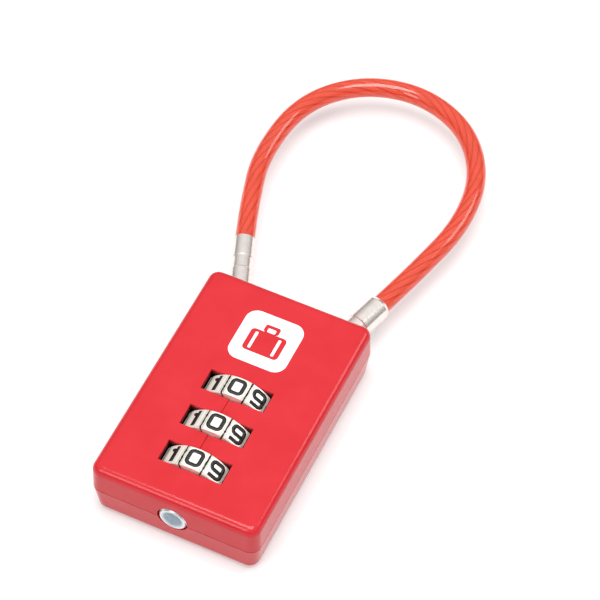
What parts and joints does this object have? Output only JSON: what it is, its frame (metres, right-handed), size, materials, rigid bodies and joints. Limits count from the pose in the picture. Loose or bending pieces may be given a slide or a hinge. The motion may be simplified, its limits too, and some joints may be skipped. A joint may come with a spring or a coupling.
{
  "type": "cable luggage lock",
  "caption": "Small luggage lock with numbered dials, a push button in the end and a sheathed steel cable loop between two ferrules.",
  "frame": {"origin": "centre of the casing's flat rear face, on the surface that the lock lies on", "axes": "+Y along the casing towards the cable loop, +Z out through the dials, +X across, to the right when the dials are read"},
  "size_m": [0.0477, 0.1177, 0.0151],
  "materials": {
    "red_paint": "glossy enamel on die-cast zinc",
    "nickel": "satin nickel plate",
    "steel": "machined",
    "brass": "machined",
    "zinc_plate": "turned face with clear zinc plate",
    "spring_steel": "drawn wire",
    "ferrule_plate": "nickel plate, crimped",
    "bronze": "rolled strip",
    "clear_vinyl": "translucent vinyl",
    "cable_steel": "twisted strand"
  },
  "bodies": {
    "casing": {"rear_shell": "red_paint", "front_shell": "red_paint", "shell_screws": "steel", "guide_plate": "steel", "detent_comb": "bronze", "spindle_spring": "spring_steel", "latch_spring": "spring_steel", "ejector_spring": "spring_steel", "fixed_ferrule": "ferrule_plate", "cable_sheath": "clear_vinyl", "cable_core": "cable_steel"},
    "dial_body_1": {"dial_1": "nickel", "code_sleeve_1": "brass"},
    "dial_body_2": {"dial_2": "nickel", "code_sleeve_2": "brass"},
    "dial_body_3": {"dial_3": "nickel", "code_sleeve_3": "brass"},
    "spindle_body": {"spindle": "steel", "release_button": "zinc_plate", "retaining_clip": "spring_steel"},
    "latch_body": {"latch_plate": "steel"},
    "ejector_body": {"ejector": "steel"},
    "release_end": {"release_ferrule": "ferrule_plate"}
  },
  "joints": [
    {"name": "dial_1_turn", "type": "hinge", "parent": "casing", "child": "dial_body_1", "pos_m": [0, 0.0014, 0.0076], "axis": [0, 1, 0], "continuous": true, "deforming": ["detent_comb"]},
    {"name": "dial_2_turn", "type": "hinge", "parent": "casing", "child": "dial_body_2", "pos_m": [0, -0.00755, 0.0076], "axis": [0, 1, 0], "continuous": true, "deforming": ["detent_comb"]},
    {"name": "dial_3_turn", "type": "hinge", "parent": "casing", "child": "dial_body_3", "pos_m": [0, -0.0165, 0.0076], "axis": [0, 1, 0], "continuous": true, "deforming": ["detent_comb"]},
    {"name": "button_press", "type": "slide", "parent": "casing", "child": "spindle_body", "axis": [0, 1, 0], "range_m": [0, 0.0025], "stiffness_N_per_m": 600, "springref_m": -0.002, "deforming": ["spindle_spring"]},
    {"name": "latch_draw", "type": "slide", "parent": "casing", "child": "latch_body", "axis": [-1, 0, 0], "range_m": [0, 0.004], "deforming": ["latch_spring"]},
    {"name": "ejector_lift", "type": "slide", "parent": "casing", "child": "ejector_body", "axis": [0.276, 0.9611, 0], "range_m": [0, 0.003], "deforming": ["ejector_spring"]},
    {"name": "release_ferrule_pull", "type": "slide", "parent": "casing", "child": "release_end", "axis": [0.276, 0.9611, 0], "range_m": [0, 0.0115], "deforming": ["cable_sheath", "cable_core"]}
  ],
  "couplings": [
    {"joint": "latch_draw", "follows": "button_press", "ratio": 1.6},
    {"joint": "ejector_lift", "follows": "button_press", "ratio": 1.2},
    {"joint": "release_ferrule_pull", "follows": "button_press", "ratio": 4.6}
  ]
}
